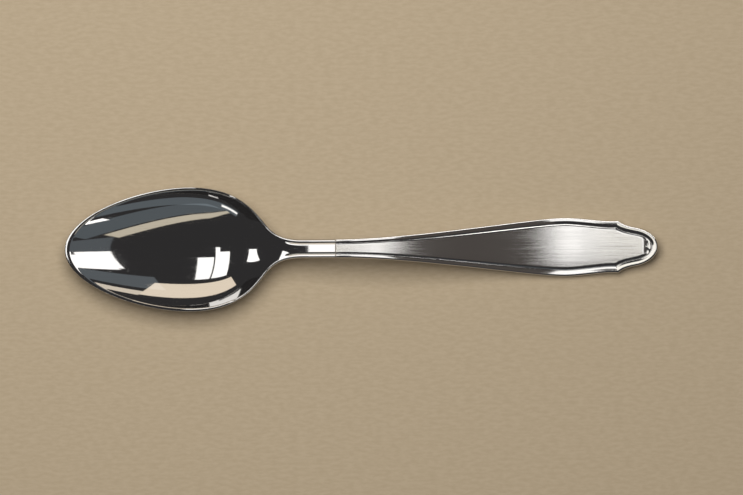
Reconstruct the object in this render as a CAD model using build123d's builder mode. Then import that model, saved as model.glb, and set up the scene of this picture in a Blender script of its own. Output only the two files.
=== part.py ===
"""Teaspoon: a drawn bowl with its neck root, a struck handle with a raised thread along its edge,
and the brazed seam that joins the two at the neck.

Millimetres. X runs along the spoon from the bowl's tip to the handle's end, Y across it, Z up.
The spoon lies on Z = 0 on the bowl's back and the low part of its handle, with the origin under
its middle. The handle falls from the neck and turns up a little at its end.
"""

import math
import os
from collections.abc import Callable
from typing import NamedTuple

from build123d import *

# Plan: runs along the spoon, from the bowl's tip to the handle's end.
BOWL_FRONT = 29.5
BOWL_BACK = 18.1
NECK_FLARE = 8.4
NECK_RUN = 8.0
HANDLE_FLANK = 54.0
HANDLE_WAIST = 12.65
COVE_RUN = 4.55
END_RUN = 4.8

# Plan: half-widths where those runs meet.
BOWL_HALF = 14.65
HEEL_HALF = 5.6
NECK_HALF = 2.2
BELLY_HALF = 6.95
SHOULDER_HALF = 6.2
COVE_HALF = 4.45

# Plan: fullness of the curves between those points.
TIP_FULLNESS = 7.7
FRONT_FULLNESS = 13.2
BACK_FULLNESS = 11.0
HEEL_FULLNESS = 5.0
HEEL_ANGLE = 51.5
FLARE_FULLNESS = 2.6
NECK_FULLNESS = 4.5
FLANK_START_FULLNESS = 18.3
FLANK_END_FULLNESS = 7.6
WAIST_FULLNESS = 4.0
SHOULDER_FULLNESS = 3.0
SHOULDER_FLICK = 0.12
SHOULDER_EASE = 0.5
COVE_DROP = 1.0
COVE_DROP_FULLNESS = 1.05
COVE_ANGLE = 11.5
COVE_FULLNESS = 1.8
END_FULLNESS = 2.6

# Side view: height of the rim, and heights of the upper face along the middle.
TIP_RIM = 8.2
SIDE_RIM = 8.0
HEEL_RIM = 8.3
HEEL_RISE = 0.1
DEEPEST_RUN = 33.5
WALL_BACK = 6.2
WALL_HEIGHT = 2.65
LIP_BACK = 1.0
LIP_HEIGHT = 6.15
SHELF_LEAD = 3.9
SHELF_HEIGHT = 8.25
RISE_LEAD = 3.0
RISE_HEIGHT = 9.6
APEX_RUN = 18.0
APEX_HEIGHT = 10.5
LOW_BACK = 2.0
LOW_HEIGHT = 2.2
END_HEIGHT = 4.2
TIP_SLOPE = 0.47
END_SLOPE = 0.14

# Metal: thickness along the middle, height of the edge, crown of the handle, rounded edges.
RIM_GAUGE = 1.15
BOWL_GAUGE = 1.0
HEEL_GAUGE = 2.2
NECK_GAUGE = 3.1
BELLY_GAUGE = 2.1
END_GAUGE = 2.0
HEEL_EDGE = 1.5
NECK_EDGE = 2.4
HANDLE_EDGE = 1.4
CROWN_RADIUS = 80.0
EDGE_ROUND = 0.45
BACK_ROUND = 0.3

# Thread border on the handle and the two lobes at its end.
NECK_BEAD = 0.8
HANDLE_BEAD = 1.2
GROOVE_WIDTH = 0.45
GROOVE_DEPTH = 0.3
THREAD_LEAD = 3.5
LOBE_SETBACK = 3.0
LOBE_SPREAD = 1.2
LOBE_RADIUS = 1.1
LOBE_DEPTH = 0.3

# Brazed joint across the neck.
SEAM_LEAD = 8.0
SEAM_GAP = 0.3
TONGUE_LENGTH = 5.0
TONGUE_WIDTH = 2.0
TONGUE_THICKNESS = 1.3
BRAZE_CLEARANCE = 0.05

# Places along X that follow from the runs.
OVERALL = (
    BOWL_FRONT
    + BOWL_BACK
    + NECK_FLARE
    + NECK_RUN
    + HANDLE_FLANK
    + HANDLE_WAIST
    + COVE_RUN
    + END_RUN
)
X_TIP = -OVERALL / 2
X_WIDE = X_TIP + BOWL_FRONT
X_HEEL = X_WIDE + BOWL_BACK
X_NECK = X_HEEL + NECK_FLARE
X_WAIST = X_NECK + NECK_RUN
X_BELLY = X_WAIST + HANDLE_FLANK
X_SHOULDER = X_BELLY + HANDLE_WAIST
X_COVE = X_SHOULDER + COVE_RUN
X_END = X_COVE + END_RUN
X_DEEP = X_TIP + DEEPEST_RUN
X_WALL = X_HEEL - WALL_BACK
X_LIP = X_HEEL - LIP_BACK
X_SHELF = X_HEEL + SHELF_LEAD
X_RISE = X_NECK + RISE_LEAD
X_APEX = X_NECK + APEX_RUN
X_LOW = X_BELLY - LOW_BACK
X_SEAM = X_NECK + SEAM_LEAD
X_THREAD = X_NECK - THREAD_LEAD

# Sheet: how far it reaches past the outline, its sections, and the blunt start of the tip's arc.
MARGIN = 1.2
STATION_COUNT = 40
PITCH = (OVERALL + 2 * MARGIN) / STATION_COUNT
TIP_START = 0.5

# Sweeps that settle a line's slopes, and the small step that measures a slope.
SWEEPS = 60
STEP = 0.01


class Knot(NamedTuple):
    """Place, value and slope that a graded line passes through."""

    x: float
    value: float
    slope: float = 0.0


class Station(NamedTuple):
    """One cross-section of the sheet: its place, its reach to each side and its two arcs."""

    x: float
    reach: float
    top: float
    curvature: float
    gauge: float
    back_curvature: float


def graded(x: float, knots: list[Knot]) -> float:
    """Value at x of the smooth line through the knots, a cubic between each two of them.

    Past the first and last knot the line runs on straight.
    """
    if x <= knots[0].x:
        return knots[0].value + knots[0].slope * (x - knots[0].x)
    if x >= knots[-1].x:
        return knots[-1].value + knots[-1].slope * (x - knots[-1].x)
    after = next(i for i, knot in enumerate(knots) if knot.x >= x)
    a, b = knots[after - 1], knots[after]
    run = b.x - a.x
    t = (x - a.x) / run
    return (
        a.value * (1 + 2 * t) * (1 - t) ** 2
        + a.slope * run * t * (1 - t) ** 2
        + b.value * t**2 * (3 - 2 * t)
        + b.slope * run * t**2 * (t - 1)
    )


def eased(points: list[tuple[float, float]], first: float, last: float) -> list[Knot]:
    """Knots through these points, with slopes that carry the curvature on without a step.

    The slopes at both ends are given. Those between settle by a few sweeps over the points.
    """
    slopes = [first] + [0.0] * (len(points) - 2) + [last]
    for _ in range(SWEEPS):
        for i in range(1, len(points) - 1):
            (ax, az), (bx, bz), (cx, cz) = points[i - 1 : i + 2]
            before = 1 / (bx - ax)
            after = 1 / (cx - bx)
            pull = 3 * (bz - az) * before**2 + 3 * (cz - bz) * after**2
            carried = slopes[i - 1] * before + slopes[i + 1] * after
            slopes[i] = (pull - carried) / (2 * before + 2 * after)
    return [Knot(x, z, slope) for (x, z), slope in zip(points, slopes)]


def bow(curvature: float, reach: float) -> float:
    """Rise of a circular arc of this curvature, from its middle to reach."""
    if abs(curvature) < 1e-9:
        return 0.0
    radius = 1 / curvature
    return radius - math.copysign(math.sqrt(radius**2 - reach**2), radius)


TOP_POINTS = [
    (X_TIP, TIP_RIM),
    (X_DEEP, BOWL_GAUGE),
    (X_WALL, WALL_HEIGHT),
    (X_LIP, LIP_HEIGHT),
    (X_SHELF, SHELF_HEIGHT),
    (X_RISE, RISE_HEIGHT),
    (X_APEX, APEX_HEIGHT),
    (X_LOW, LOW_HEIGHT),
    (X_END, END_HEIGHT),
]
TOP_LINE = eased(TOP_POINTS, -TIP_SLOPE, END_SLOPE)
RIM_LINE = [Knot(X_TIP, TIP_RIM), Knot(X_WIDE, SIDE_RIM), Knot(X_HEEL, HEEL_RIM, HEEL_RISE)]
GAUGE_LINE = [
    Knot(X_TIP, RIM_GAUGE),
    Knot(X_DEEP, BOWL_GAUGE),
    Knot(X_WALL, RIM_GAUGE),
    Knot(X_HEEL, HEEL_GAUGE, (NECK_GAUGE - RIM_GAUGE) / (X_NECK - X_WALL)),
    Knot(X_NECK, NECK_GAUGE),
    Knot(X_BELLY, BELLY_GAUGE),
    Knot(X_END, END_GAUGE),
]

# Half outline in plan: nine curves from the bowl's tip to the handle's end.
HEEL_RUN = math.cos(math.radians(HEEL_ANGLE))
HEEL_FALL = math.sin(math.radians(HEEL_ANGLE))
COVE_FALL = math.tan(math.radians(COVE_ANGLE))
FRONT = [
    (X_TIP, 0),
    (X_TIP, TIP_FULLNESS),
    (X_WIDE - FRONT_FULLNESS, BOWL_HALF),
    (X_WIDE, BOWL_HALF),
]
BACK = [
    (X_WIDE, BOWL_HALF),
    (X_WIDE + BACK_FULLNESS, BOWL_HALF),
    (X_HEEL - HEEL_FULLNESS * HEEL_RUN, HEEL_HALF + HEEL_FULLNESS * HEEL_FALL),
    (X_HEEL, HEEL_HALF),
]
FLARE = [
    (X_HEEL, HEEL_HALF),
    (X_HEEL + FLARE_FULLNESS * HEEL_RUN, HEEL_HALF - FLARE_FULLNESS * HEEL_FALL),
    (X_NECK - NECK_FULLNESS, NECK_HALF),
    (X_NECK, NECK_HALF),
]
NECK = [
    (X_NECK, NECK_HALF),
    (X_NECK + NECK_RUN / 3, NECK_HALF),
    (X_WAIST - NECK_RUN / 3, NECK_HALF),
    (X_WAIST, NECK_HALF),
]
FLANK = [
    (X_WAIST, NECK_HALF),
    (X_WAIST + FLANK_START_FULLNESS, NECK_HALF),
    (X_BELLY - FLANK_END_FULLNESS, BELLY_HALF),
    (X_BELLY, BELLY_HALF),
]
SHOULDER_CORNER = (X_SHOULDER, SHOULDER_HALF)


def before_shoulder(run: float) -> tuple[float, float]:
    """Point that lies this run before the shoulder's corner, on the line that flicks out to it."""
    return X_SHOULDER - run, SHOULDER_HALF - SHOULDER_FLICK * run


def after_shoulder(run: float) -> tuple[float, float]:
    """Point that lies this run past the shoulder's corner, on the line that drops into the cove."""
    return X_SHOULDER + run, SHOULDER_HALF - COVE_DROP * run


WAIST = [
    (X_BELLY, BELLY_HALF),
    (X_BELLY + WAIST_FULLNESS, BELLY_HALF),
    before_shoulder(SHOULDER_FULLNESS),
    before_shoulder(SHOULDER_EASE),
]
SHOULDER = [
    before_shoulder(SHOULDER_EASE),
    before_shoulder(SHOULDER_EASE / 3),
    after_shoulder(SHOULDER_EASE / 3),
    after_shoulder(SHOULDER_EASE),
]
COVE = [
    after_shoulder(SHOULDER_EASE),
    after_shoulder(COVE_DROP_FULLNESS),
    (X_COVE - COVE_FULLNESS, COVE_HALF + COVE_FULLNESS * COVE_FALL),
    (X_COVE, COVE_HALF),
]
END = [
    (X_COVE, COVE_HALF),
    (X_COVE + COVE_FULLNESS, COVE_HALF - COVE_FULLNESS * COVE_FALL),
    (X_END, END_FULLNESS),
    (X_END, 0),
]


def curve_point(poles: list[tuple[float, float]], t: float) -> tuple[float, float]:
    """Point at t on the cubic curve of these four poles."""
    weights = ((1 - t) ** 3, 3 * t * (1 - t) ** 2, 3 * t**2 * (1 - t), t**3)
    x = sum(weight * pole[0] for weight, pole in zip(weights, poles))
    y = sum(weight * pole[1] for weight, pole in zip(weights, poles))
    return x, y


CURVES = [FRONT, BACK, FLARE, NECK, FLANK, WAIST, SHOULDER, COVE, END]

# The thread follows the handle's edge round the shoulder's true corner.
THREAD_WAIST = WAIST[:3] + [SHOULDER_CORNER]
THREAD_COVE = [SHOULDER_CORNER] + COVE[1:]
THREAD_CURVES = [FLARE, NECK, FLANK, THREAD_WAIST, THREAD_COVE, END]


def half_width(x: float) -> float:
    """Half-width of the outline at x, found on the curve that spans it."""
    poles = next(poles for poles in CURVES if poles[0][0] <= x <= poles[3][0])
    low, high = 0.0, 1.0
    for _ in range(40):
        middle = (low + high) / 2
        if curve_point(poles, middle)[0] < x:
            low = middle
        else:
            high = middle
    return curve_point(poles, low)[1]


def bowl_curvature(x: float) -> float:
    """Curvature of the bowl's upper arc at x: it meets the rim line on the outline."""
    x = max(x, X_TIP + TIP_START)
    half = half_width(x)
    lift = graded(x, RIM_LINE) - graded(x, TOP_LINE)
    return 2 * lift / (half**2 + lift**2)


def bowl_edge(x: float) -> float:
    """Height of the bowl's edge at x, where the lower arc lies one thickness outside the upper."""
    half = half_width(max(x, X_TIP + TIP_START))
    inner = 1 / bowl_curvature(x)
    outer = inner + graded(x, GAUGE_LINE)
    return math.sqrt(outer**2 - half**2) - math.sqrt(inner**2 - half**2)


def knot_on(line: Callable[[float], float], x: float) -> Knot:
    """Knot at x with the value and the slope that this line has as it arrives there."""
    return Knot(x, line(x), (line(x) - line(x - STEP)) / STEP)


def station_at(x: float) -> Station:
    """Cross-section of the sheet at x."""
    faces = [knot_on(bowl_curvature, X_HEEL), Knot(X_NECK, -1 / CROWN_RADIUS)]
    edges = [
        knot_on(bowl_edge, X_WALL),
        Knot(X_HEEL, HEEL_EDGE),
        Knot(X_NECK, NECK_EDGE),
        Knot(X_WAIST, NECK_EDGE),
        Knot(X_BELLY, HANDLE_EDGE),
    ]
    half = half_width(min(max(x, X_TIP + TIP_START), X_SHOULDER))
    gauge = graded(x, GAUGE_LINE)
    curvature = bowl_curvature(x) if x <= X_HEEL else graded(x, faces)
    edge = bowl_edge(x) if x <= X_WALL else graded(x, edges)
    back_lift = bow(curvature, half) + gauge - edge
    back_curvature = 2 * back_lift / (half**2 + back_lift**2)
    return Station(x, half + MARGIN, graded(x, TOP_LINE), curvature, gauge, back_curvature)


def slope_at(x: float) -> float:
    """Slope of the upper face along the middle at x."""
    return (graded(x + STEP, TOP_LINE) - graded(x - STEP, TOP_LINE)) / (2 * STEP)


def inset(curves: list[list[tuple[float, float]]], extra: float) -> list[list[tuple[float, float]]]:
    """Curves that run inside these by the bead's width and extra, moved corner by corner."""
    chain = [curves[0][0]] + [pole for poles in curves for pole in poles[1:]]
    normals = []
    for (ax, ay), (bx, by) in zip(chain, chain[1:]):
        leg = math.hypot(bx - ax, by - ay)
        normals.append(((by - ay) / leg, (ax - bx) / leg))
    moved = []
    for i, (x, y) in enumerate(chain):
        ux, uy = normals[max(i - 1, 0)]
        vx, vy = normals[min(i, len(normals) - 1)]
        step = (graded(x, BEAD_LINE) + extra) / (1 + ux * vx + uy * vy)
        moved.append((x + step * (ux + vx), y + step * (uy + vy)))
    return [moved[i : i + 4] for i in range(0, len(moved) - 1, 3)]


def mirrored_face(half: list[Edge]) -> Face:
    """Face in plan bounded by these edges and their mirror image across the middle."""
    return Face(Wire.combine(half + [edge.mirror(Plane.XZ) for edge in half])[0])


def draw_section(station: Station, upper: float, lower: float, lower_curvature: float) -> None:
    """Draw one closed section of a layer between two arcs, at these heights above the face."""
    reach = station.reach
    top = station.top + upper
    edge = top + bow(station.curvature, reach)
    base = station.top + lower
    hem = base + bow(lower_curvature, reach)
    ThreePointArc((-reach, edge), (0, top), (reach, edge))
    Line((reach, edge), (reach, hem))
    ThreePointArc((reach, hem), (0, base), (-reach, hem))
    Line((-reach, hem), (-reach, edge))


BEAD_LINE = [Knot(X_WAIST, NECK_BEAD), Knot(X_BELLY, HANDLE_BEAD)]
STATIONS = [station_at(X_TIP - MARGIN + PITCH * i) for i in range(STATION_COUNT + 1)]
DIE_HEIGHT = 2 * APEX_HEIGHT

# Construction: the cutter for the thread's groove, a ring in plan that follows the handle's face.
with BuildPart() as groove:
    for station in STATIONS:
        if station.x > X_THREAD - PITCH:
            with BuildSketch(Plane.YZ.offset(station.x)):
                with BuildLine():
                    draw_section(station, MARGIN, -GROOVE_DEPTH, station.curvature)
                make_face()
    loft()
    bead_side = inset(THREAD_CURVES, 0.0)
    panel_side = inset(THREAD_CURVES, GROOVE_WIDTH)
    ring = [Edge.make_bezier(*poles) for poles in bead_side + panel_side]
    ring.append(Edge.make_line(bead_side[0][0], panel_side[0][0]))
    extrude(mirrored_face(ring), amount=DIE_HEIGHT, both=True, clean=False, mode=Mode.INTERSECT)
    split(bisect_by=Plane.YZ.offset(X_THREAD), keep=Keep.TOP)

# Construction: the whole spoon as one blank, struck between two dies and trimmed to the outline.
with BuildPart() as blank:
    for station in STATIONS:
        with BuildSketch(Plane.YZ.offset(station.x)):
            with BuildLine():
                draw_section(station, 0.0, -station.gauge, station.back_curvature)
            make_face()
    loft()
    outline = mirrored_face([Edge.make_bezier(*poles) for poles in CURVES])
    extrude(outline, amount=DIE_HEIGHT, both=True, clean=False, mode=Mode.INTERSECT)
    upper_face = blank.faces().sort_by(SortBy.AREA)[-2:].sort_by(Axis.Z)[1]
    fillet(upper_face.edges(), EDGE_ROUND)
    lower_face = blank.faces().sort_by(SortBy.AREA)[-2:].sort_by(Axis.Z)[0]
    fillet(lower_face.edges(), BACK_ROUND)
    add(groove.part, clean=False, mode=Mode.SUBTRACT)

    # Two shallow dishes side by side leave the two-lobed edge at the handle's end.
    x_lobe = X_END - LOBE_SETBACK
    dish = (LOBE_RADIUS**2 + LOBE_DEPTH**2) / (2 * LOBE_DEPTH)
    tilt = math.atan(slope_at(x_lobe))
    lobe_x = x_lobe - (dish - LOBE_DEPTH) * math.sin(tilt)
    lobe_z = graded(x_lobe, TOP_LINE) + (dish - LOBE_DEPTH) * math.cos(tilt)
    with Locations((lobe_x, LOBE_SPREAD, lobe_z), (lobe_x, -LOBE_SPREAD, lobe_z)):
        Sphere(dish, mode=Mode.SUBTRACT)

# The joint lies square to the neck, half a gap to each side of this plane.
neck_tilt = math.atan(slope_at(X_SEAM))
neck_along = (math.cos(neck_tilt), 0, math.sin(neck_tilt))
neck_middle = (X_SEAM, 0, graded(X_SEAM, TOP_LINE) - graded(X_SEAM, GAUGE_LINE) / 2)
joint = Plane(origin=neck_middle, x_dir=(0, 1, 0), z_dir=neck_along)
bowl_side = joint.offset(-SEAM_GAP / 2)
handle_side = joint.offset(SEAM_GAP / 2)
SOCKET_WIDTH = TONGUE_WIDTH + 2 * BRAZE_CLEARANCE
SOCKET_THICKNESS = TONGUE_THICKNESS + 2 * BRAZE_CLEARANCE

with BuildPart() as bowl:
    add(blank.part)
    split(bisect_by=bowl_side, keep=Keep.BOTTOM)
    with BuildSketch(bowl_side):
        Rectangle(SOCKET_WIDTH, SOCKET_THICKNESS)
    extrude(amount=-TONGUE_LENGTH - BRAZE_CLEARANCE, clean=False, mode=Mode.SUBTRACT)

with BuildPart() as handle:
    add(blank.part)
    split(bisect_by=handle_side, keep=Keep.TOP)
    with BuildSketch(handle_side):
        Rectangle(TONGUE_WIDTH, TONGUE_THICKNESS)
    extrude(amount=-SEAM_GAP - TONGUE_LENGTH, clean=False)

with BuildPart() as braze_seam:
    add(blank.part)
    split(bisect_by=bowl_side, keep=Keep.TOP)
    split(bisect_by=handle_side, keep=Keep.BOTTOM)
    with BuildSketch(joint):
        Rectangle(SOCKET_WIDTH, SOCKET_THICKNESS)
    extrude(amount=SEAM_GAP, both=True, clean=False, mode=Mode.SUBTRACT)

bowl.part.label = "bowl"
handle.part.label = "handle"
braze_seam.part.label = "braze_seam"

os.makedirs("parts", exist_ok=True)
export_step(bowl.part, "parts/bowl.step")
export_step(handle.part, "parts/handle.step")
export_step(braze_seam.part, "parts/braze_seam.step")
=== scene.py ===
"""Teaspoon: a polished bowl, a satin handle with a polished thread border, a brazed neck seam.

Sizes are in millimetres in the spoon's own frame and become metres where a mesh is made. X runs
from the bowl's tip to the handle's end, Y across the spoon, Z up. The upper face is the height
z = top(x) + bow(k(x), y): a line along the middle plus a circular arc across it. Lamps and camera
are placed in metres.
"""

import logging
import math
from collections.abc import Callable, Sequence
from dataclasses import dataclass, field
from enum import Enum
from functools import cached_property
from typing import Any

import bpy
import numpy as np
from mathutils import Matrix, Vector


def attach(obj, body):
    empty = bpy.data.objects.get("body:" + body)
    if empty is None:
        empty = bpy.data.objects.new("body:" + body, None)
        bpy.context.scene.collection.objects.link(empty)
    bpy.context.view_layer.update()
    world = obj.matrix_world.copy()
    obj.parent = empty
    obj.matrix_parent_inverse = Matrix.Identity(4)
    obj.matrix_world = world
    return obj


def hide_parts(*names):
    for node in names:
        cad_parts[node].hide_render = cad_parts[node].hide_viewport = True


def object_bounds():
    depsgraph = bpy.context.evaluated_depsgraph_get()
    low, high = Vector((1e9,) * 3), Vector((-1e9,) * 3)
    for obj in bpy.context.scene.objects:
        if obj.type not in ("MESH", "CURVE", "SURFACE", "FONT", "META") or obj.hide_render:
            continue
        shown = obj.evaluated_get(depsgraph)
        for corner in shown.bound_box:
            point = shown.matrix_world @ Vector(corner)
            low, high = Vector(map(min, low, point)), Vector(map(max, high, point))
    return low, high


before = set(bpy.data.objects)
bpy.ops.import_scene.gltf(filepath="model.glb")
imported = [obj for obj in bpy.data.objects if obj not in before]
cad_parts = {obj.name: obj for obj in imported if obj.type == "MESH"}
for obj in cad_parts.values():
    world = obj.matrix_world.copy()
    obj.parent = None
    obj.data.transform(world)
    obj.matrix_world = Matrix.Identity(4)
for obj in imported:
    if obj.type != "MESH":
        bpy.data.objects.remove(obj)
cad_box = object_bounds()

Array = np.ndarray
Pair = tuple[float, float]
Triple = tuple[float, float, float]
MM = 0.001
SHARP_ANGLE = math.radians(38)
MIX_FIRST, MIX_SECOND = 6, 7
CEILING = 1.2
log = logging.getLogger("teaspoon")


class Lit(Enum):
    """What a lamp lights: everything, or one of the pieces alone."""

    ALL = "all"
    BOWL = "bowl"
    HANDLE = "handle"
    BOARD = "board"


class Glow(Enum):
    """Colour of a lamp."""

    DAY = (1.0, 0.99, 0.97)
    WINDOW = (1.0, 0.98, 0.96)
    SOFT_WINDOW = (1.0, 0.98, 0.95)
    FAINT_CREAM = (1.0, 0.98, 0.93)
    PALE_CREAM = (1.0, 0.97, 0.88)
    CREAM = (1.0, 0.9, 0.7)
    PALE_WARM = (1.0, 0.88, 0.72)
    WARM = (1.0, 0.86, 0.68)
    DIM = (1.0, 0.82, 0.66)
    PALE_COOL = (0.76, 0.9, 1.0)
    COOL = (0.72, 0.89, 1.0)


class Side(Enum):
    """Side of the brazed joint on which a piece lies, as its direction along X."""

    BOWL = -1
    HANDLE = 1


@dataclass(frozen=True)
class Line:
    """Smooth line through knots: a cubic between each two of them, straight past both ends.

    Args:
        x: Places of the knots.
        value: Values there.
        slope: Slopes there.
    """

    x: Array
    value: Array
    slope: Array

    @classmethod
    def graded(cls, *knots: Triple) -> "Line":
        """Line through knots that give their slopes.

        Args:
            knots: Place, value and slope of each knot, in order of place.

        Returns:
            The line.
        """
        x, value, slope = np.array(knots, dtype=float).T
        return cls(x, value, slope)

    @classmethod
    def eased(cls, points: Sequence[Pair], first: float, last: float) -> "Line":
        """Line through points whose curvature runs on without a step.

        The slopes solve the linear system that equates the second derivatives of the two cubics
        that meet at each inner point.

        Args:
            points: Place and value of each point, in order of place.
            first: Slope at the first point.
            last: Slope at the last point.

        Returns:
            The line.
        """
        x, value = np.array(points, dtype=float).T
        near = 1 / np.diff(x)
        chord = 3 * np.diff(value) * near**2
        inner = np.arange(1, len(x) - 1)
        system = np.eye(len(x))
        system[inner, inner - 1] = near[:-1]
        system[inner, inner] = 2 * (near[:-1] + near[1:])
        system[inner, inner + 1] = near[1:]
        pull = np.concatenate([[first], chord[:-1] + chord[1:], [last]])
        return cls(x, value, np.linalg.solve(system, pull))

    def at(self, x: Array) -> Array:
        """Value at each x.

        Args:
            x: Places.

        Returns:
            The values, in the shape of x.
        """
        inside = np.clip(x, self.x[0], self.x[-1])
        i = np.clip(np.searchsorted(self.x, inside, side="right") - 1, 0, len(self.x) - 2)
        run = self.x[i + 1] - self.x[i]
        t = (inside - self.x[i]) / run
        cubic = (
            self.value[i] * (1 + 2 * t) * (1 - t) ** 2
            + self.slope[i] * run * t * (1 - t) ** 2
            + self.value[i + 1] * t**2 * (3 - 2 * t)
            + self.slope[i + 1] * run * t**2 * (t - 1)
        )
        return cubic + np.where(x < inside, self.slope[0], self.slope[-1]) * (x - inside)

    def slope_at(self, x: float, step: float = 0.01) -> float:
        """Slope at x, measured over a small step to each side."""
        return float(self.at(x + step) - self.at(x - step)) / (2 * step)


def arriving(line: Callable[[Array], Array], x: float, step: float = 0.01) -> Triple:
    """Knot at x with the value and the slope that a line has as it arrives there.

    Args:
        line: Function of place.
        x: Place of the knot.
        step: Length over which the slope is measured.

    Returns:
        Place, value and slope.
    """
    before, value = line(np.array([x - step, x]))
    return x, float(value), float(value - before) / step


def bow(curvature: Array, reach: Array) -> Array:
    """Rise of a circular arc: k y^2 / (1 + sqrt(1 - (k y)^2)), which holds for a flat arc too.

    Args:
        curvature: One over the arc's radius, positive where it turns up.
        reach: Distance from the arc's middle.

    Returns:
        Height above the arc's middle.
    """
    turn = curvature * reach
    return turn * reach / (1 + np.sqrt(np.clip(1 - turn**2, 0, 1)))


def eased_step(x: Array, start: float, end: float) -> Array:
    """Share from 0 at start to 1 at end, level at both: 3 t^2 - 2 t^3.

    Args:
        x: Places.
        start: Where the share is 0.
        end: Where the share is 1.

    Returns:
        The share at each place.
    """
    t = np.clip((x - start) / (end - start), 0, 1)
    return t * t * (3 - 2 * t)


@dataclass(frozen=True)
class Outline:
    """Half outline in plan: a chain of cubic curves from the bowl's tip to the handle's end.

    Args:
        poles: The curves' poles, where the last of one curve is the first of the next.
    """

    poles: Array

    @cached_property
    def inward(self) -> Array:
        """Step of each pole that moves both its legs inwards by one: (n + m) / (1 + n.m).

        Returns:
            One step in plan for each pole.
        """
        legs = np.diff(self.poles, axis=0)
        normals = np.column_stack([legs[:, 1], -legs[:, 0]]) / np.linalg.norm(legs, axis=1)[:, None]
        before = np.vstack([normals[:1], normals])
        after = np.vstack([normals, normals[-1:]])
        return (before + after) / (1 + (before * after).sum(axis=1))[:, None]

    def carry(self, values: Array, curves: range, counts: Sequence[int]) -> Array:
        """Values of the poles carried along the curves by the cubic weights of a curve's poles.

        Args:
            values: One row of numbers for each pole of the chain.
            curves: The curves to follow, by number.
            counts: Steps along each curve.

        Returns:
            One row for each step, and one for the end.
        """
        rows = []
        for curve in curves:
            t = np.arange(counts[curve])[:, None] / counts[curve]
            weights = np.hstack([(1 - t) ** 3, 3 * t * (1 - t) ** 2, 3 * t**2 * (1 - t), t**3])
            rows.append(weights @ values[3 * curve : 3 * curve + 4])
        return np.vstack(rows + [values[3 * curves.stop][None]])


@dataclass(frozen=True)
class Plan:
    """Plan sizes: runs along the spoon, half-widths where they meet, fullness of the curves."""

    tip: float = round(cad_box[0][0] / MM, 3)
    bowl_front: float = 29.5
    bowl_back: float = 18.1
    neck_flare: float = 8.4
    neck_run: float = 8.0
    flank: float = 54.0
    waist: float = 12.65
    cove_run: float = 4.55
    end_run: float = 4.8
    bowl_half: float = 14.65
    heel_half: float = 5.6
    neck_half: float = 2.2
    belly_half: float = 6.95
    shoulder_half: float = 6.2
    cove_half: float = 4.45
    tip_fullness: float = 7.7
    front_fullness: float = 13.2
    back_fullness: float = 11.0
    heel_fullness: float = 5.0
    heel_angle: float = math.radians(51.5)
    flare_fullness: float = 2.6
    neck_fullness: float = 4.5
    flank_start: float = 18.3
    flank_end: float = 7.6
    waist_fullness: float = 4.0
    shoulder_fullness: float = 3.0
    shoulder_flick: float = 0.12
    cove_drop: float = 1.0
    cove_drop_fullness: float = 1.05
    cove_angle: float = math.radians(11.5)
    cove_fullness: float = 1.8
    end_fullness: float = 2.6
    trace_steps: int = 2000

    @cached_property
    def places(self) -> dict[str, float]:
        """X of each named place, from the tip on.

        Returns:
            The places by name.
        """
        runs = {
            "wide": self.bowl_front,
            "heel": self.bowl_back,
            "neck": self.neck_flare,
            "waist": self.neck_run,
            "belly": self.flank,
            "shoulder": self.waist,
            "cove": self.cove_run,
            "end": self.end_run,
        }
        ends = self.tip + np.cumsum(list(runs.values()))
        return {"tip": self.tip} | dict(zip(runs, ends.tolist()))

    @cached_property
    def outline(self) -> Outline:
        """Half outline: front and back of the bowl, flare, neck, flank, waist, cove, end.

        Returns:
            The outline, eight curves long.
        """
        at = self.places
        run, fall = math.cos(self.heel_angle), math.sin(self.heel_angle)
        shoulder, drop = at["shoulder"], self.cove_drop_fullness
        flick = self.shoulder_flick * self.shoulder_fullness
        cove = math.tan(self.cove_angle) * self.cove_fullness
        poles = [
            (at["tip"], 0),
            (at["tip"], self.tip_fullness),
            (at["wide"] - self.front_fullness, self.bowl_half),
            (at["wide"], self.bowl_half),
            (at["wide"] + self.back_fullness, self.bowl_half),
            (at["heel"] - self.heel_fullness * run, self.heel_half + self.heel_fullness * fall),
            (at["heel"], self.heel_half),
            (at["heel"] + self.flare_fullness * run, self.heel_half - self.flare_fullness * fall),
            (at["neck"] - self.neck_fullness, self.neck_half),
            (at["neck"], self.neck_half),
            (at["neck"] + self.neck_run / 3, self.neck_half),
            (at["waist"] - self.neck_run / 3, self.neck_half),
            (at["waist"], self.neck_half),
            (at["waist"] + self.flank_start, self.neck_half),
            (at["belly"] - self.flank_end, self.belly_half),
            (at["belly"], self.belly_half),
            (at["belly"] + self.waist_fullness, self.belly_half),
            (shoulder - self.shoulder_fullness, self.shoulder_half - flick),
            (shoulder, self.shoulder_half),
            (shoulder + drop, self.shoulder_half - self.cove_drop * drop),
            (at["cove"] - self.cove_fullness, self.cove_half + cove),
            (at["cove"], self.cove_half),
            (at["cove"] + self.cove_fullness, self.cove_half - cove),
            (at["end"], self.end_fullness),
            (at["end"], 0),
        ]
        return Outline(np.array(poles, dtype=float))

    @cached_property
    def _trace(self) -> Array:
        """The outline in fine steps, to read its half-width at any place."""
        curves = range(len(self.outline.poles) // 3)
        return self.outline.carry(self.outline.poles, curves, [self.trace_steps] * len(curves))

    def half_width(self, x: Array) -> Array:
        """Half-width of the outline at each x."""
        return np.interp(x, self._trace[:, 0], self._trace[:, 1])


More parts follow.
